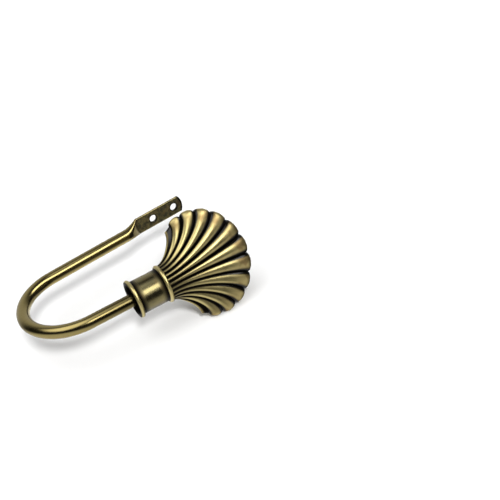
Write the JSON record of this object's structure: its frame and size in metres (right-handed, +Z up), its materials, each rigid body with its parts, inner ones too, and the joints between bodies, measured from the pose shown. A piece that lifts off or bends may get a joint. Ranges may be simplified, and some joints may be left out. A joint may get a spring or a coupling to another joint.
{
  "type": "curtain holdback",
  "caption": "Bent tube hook with a flat screw tab at its wall end and a fluted scallop-shell finial on its free end, which holds a drawn curtain to the side.",
  "frame": {"origin": "on the wall face of the flat tab, midway between its two screw holes", "axes": "+X along the wall leg from the bend towards the shell, +Y into the wall, +Z up"},
  "size_m": [0.168, 0.1095, 0.0756],
  "materials": {
    "arm_brass": "antique brass plate, polished and toned dark",
    "cast_brass": "antique brass plate with near black grooves and rubbed bright crests",
    "joint_steel": "plain turned steel"
  },
  "bodies": {
    "root": {"hook_arm": "arm_brass", "shell_finial": "cast_brass", "thread_insert": "joint_steel", "joining_stud": "joint_steel"}
  },
  "joints": []
}
